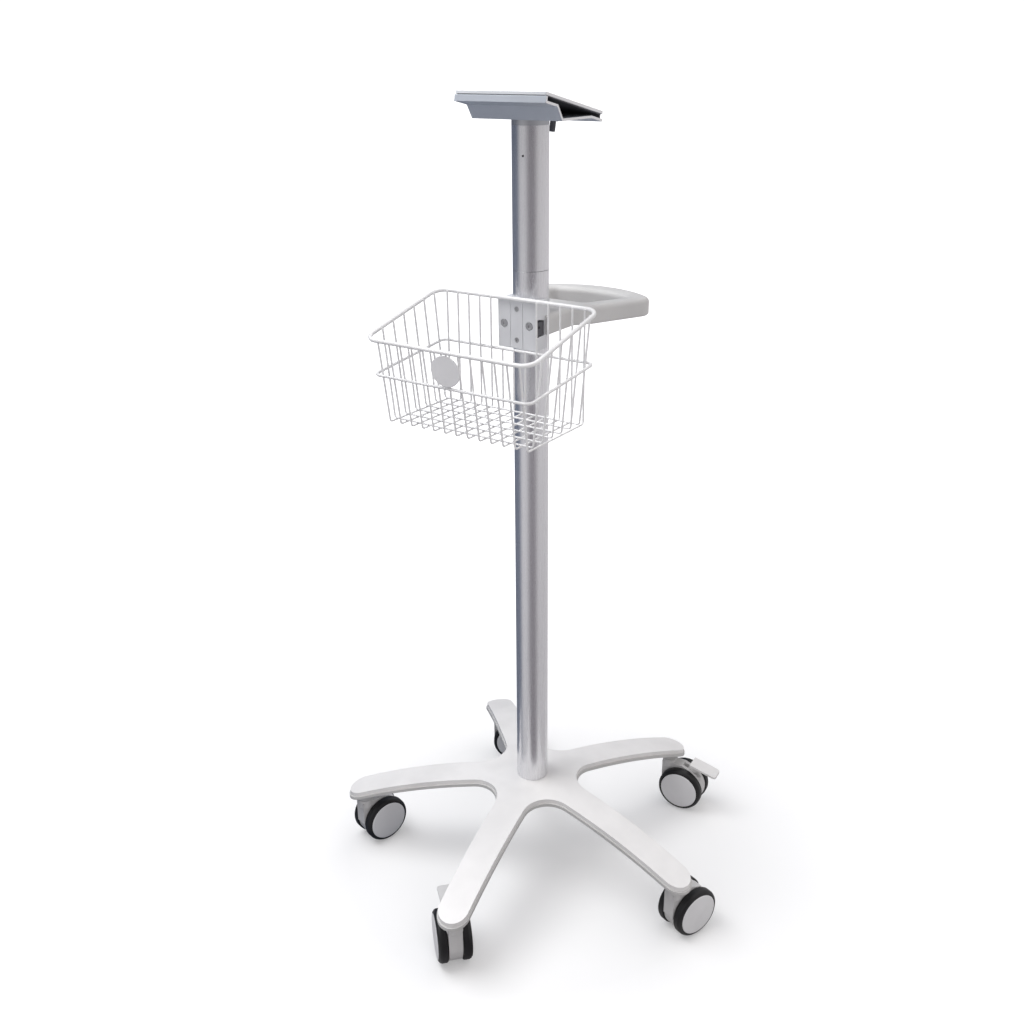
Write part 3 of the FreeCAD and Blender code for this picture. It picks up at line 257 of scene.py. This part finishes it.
# Tint of what stands around the column, by the direction from it in degrees from +X: the dark
# cards of a photo studio, seen only in the satin column and the other shiny pieces.
DARK_CARD = (0.20, 0.23, 0.30)
WARM_CARD = (0.34, 0.32, 0.34)
PALE_CARD = (0.86, 0.85, 0.86)
CARDS = [
    (-180, DARK_CARD),
    (-146, DARK_CARD),
    (-122, PALE_CARD),
    (-92, PALE_CARD),
    (-64, WARM_CARD),
    (-36, WARM_CARD),
    (-6, (0.90, 0.88, 0.88)),
    (100, (1.00, 0.98, 0.98)),
    (125, DARK_CARD),
    (180, DARK_CARD),
]

FLOOR_SIZE = 60.0

# Faint patches of the floor's paint: their width, and the darker and the lighter grey.
FLOOR_PATCH = 0.5
FLOOR_GREYS = [(0.3, grey(0.74)), (0.7, grey(0.76))]

# Glow of the floor, from the near to the far distance from the column: as the camera sees it,
# and as it shows in the shiny pieces.
SEEN_REACH = (0.3, 1.4)
SEEN_GLOW = (0.24, 1.0)
MIRRORED_REACH = (0.8, 3.0)
MIRRORED_GLOW = (0.14, 0.62)

# Brightness of the floor's paint as it shows in shiny pieces and as it lights the others.
MIRRORED_PAINT = 0.80
BOUNCED_PAINT = 0.62

HORIZON = grey(0.42)
OVERHEAD = grey(1.0)
SKY_STRENGTH = 1.1

# Height on the column that the lamps point at.
LAMP_AIM = Vector((0.0, 0.0, 0.6))


def surroundings(tree, direction):
    """Colour of the cards seen in a direction from the column."""
    parts = direction_parts(tree, direction)
    angle = math_node(tree, "ARCTAN2", parts["Y"], parts["X"])
    turn = math_node(tree, "MULTIPLY_ADD", angle, 1 / math.tau, 0.5)
    return ramp(tree, turn, [(0.5 + degrees / 360, tint) for degrees, tint in CARDS])


def glowing(tree, paint, strength, **colour):
    """Diffuse paint that also glows."""
    both = tree.nodes.new("ShaderNodeAddShader")
    dull = add_node(tree, "ShaderNodeBsdfDiffuse", Color=paint)
    glow = add_node(tree, "ShaderNodeEmission", Strength=strength, **colour)
    for socket, shader in zip(both.inputs, (dull, glow)):
        feed(tree, socket, shader.outputs[0])
    return both.outputs[0]


def make_floor():
    """Pale floor; to the camera it glows a little, and more with distance, up to plain white."""
    bpy.ops.mesh.primitive_plane_add(size=FLOOR_SIZE)
    floor = bpy.context.object
    floor.name = "floor"
    made = bpy.data.materials.new("floor")
    made.use_nodes = True
    tree = made.node_tree
    tree.nodes.clear()

    place = tree.nodes.new("ShaderNodeNewGeometry").outputs["Position"]
    away = operate(tree, "ShaderNodeVectorMath", "SUBTRACT", (place, AXIS)).outputs["Vector"]
    distance = operate(tree, "ShaderNodeVectorMath", "LENGTH", (away,)).outputs["Value"]
    pale = ramp(tree, noise(tree, place, FLOOR_PATCH), FLOOR_GREYS)
    seen = glowing(tree, pale, map_range(tree, distance, SEEN_REACH, SEEN_GLOW))

    path = tree.nodes.new("ShaderNodeLightPath").outputs
    dimmings = [(0.0, grey(MIRRORED_PAINT)), (1.0, grey(BOUNCED_PAINT))]
    dimmed = ramp(tree, path["Is Diffuse Ray"], dimmings)
    carded = multiply_colours(tree, dimmed, surroundings(tree, away))
    carded = multiply_colours(tree, carded, pale)
    glow = map_range(tree, distance, MIRRORED_REACH, MIRRORED_GLOW)
    mirrored = glowing(tree, carded, glow, Color=carded)

    choose = tree.nodes.new("ShaderNodeMixShader")
    for socket, given in zip(choose.inputs, (path["Is Camera Ray"], mirrored, seen)):
        feed(tree, socket, given)
    add_node(tree, "ShaderNodeOutputMaterial", Surface=choose.outputs[0])
    floor.data.materials.append(made)


def make_sky():
    """White for the camera; for the light itself brighter overhead than at the horizon."""
    world = bpy.data.worlds.new("studio")
    world.use_nodes = True
    tree = world.node_tree
    tree.nodes.clear()
    direction = tree.nodes.new("ShaderNodeTexCoord").outputs["Generated"]
    rise = direction_parts(tree, direction)["Z"]
    light = ramp(tree, rise, [(0.0, HORIZON), (1.0, OVERHEAD)])
    tinted = multiply_colours(tree, light, surroundings(tree, direction))
    seen = tree.nodes.new("ShaderNodeLightPath").outputs["Is Camera Ray"]
    colour = mix_colours(tree, tinted, (1.0, 1.0, 1.0, 1.0), seen)
    background = add_node(tree, "ShaderNodeBackground", Color=colour, Strength=SKY_STRENGTH)
    add_node(tree, "ShaderNodeOutputWorld", Surface=background.outputs[0])
    bpy.context.scene.world = world


def make_lamp(name, at, size, power, mirrored=True):
    """Soft round lamp; one that isn't mirrored leaves no bright streak in shiny pieces."""
    lamp = bpy.data.lights.new(name, "AREA")
    lamp.shape = "DISK"
    lamp.size = size
    lamp.energy = power
    holder = bpy.data.objects.new(name, lamp)
    holder.location = AXIS + Vector(at)
    holder.rotation_mode = "QUATERNION"
    aim = AXIS + LAMP_AIM - holder.location
    holder.rotation_quaternion = aim.to_track_quat("-Z", "Y")
    holder.visible_glossy = mirrored
    bpy.context.scene.collection.objects.link(holder)


# ---------------------------------------------------------------- camera

# Where the camera stands from the foot of the column, and how it is held.
CAMERA_PLACE = Vector((0.8177, -1.2113, 1.2272))
CAMERA_HEADING = math.radians(35.13)
CAMERA_DIP = math.radians(22.98)
CAMERA_ROLL = math.radians(-0.61)
LENS_MM = 38.67
SENSOR_MM = 36.0


def make_camera():
    lens = bpy.data.cameras.new("camera")
    lens.lens = LENS_MM
    lens.sensor_width = SENSOR_MM
    camera = bpy.data.objects.new("camera", lens)
    turn = Euler((math.pi / 2 - CAMERA_DIP, 0, CAMERA_HEADING)).to_matrix().to_4x4()
    roll = Matrix.Rotation(CAMERA_ROLL, 4, "Z")
    camera.matrix_world = Matrix.Translation(AXIS + CAMERA_PLACE) @ turn @ roll
    bpy.context.scene.collection.objects.link(camera)
    bpy.context.scene.camera = camera


make_floor()
make_sky()
make_lamp("key", at=(-1.1, -0.7, 3.0), size=2.2, power=56)
make_lamp("fill", at=(1.7, -1.5, 0.9), size=1.4, power=9, mirrored=False)
make_camera()
bpy.context.scene.view_settings.view_transform = "Standard"
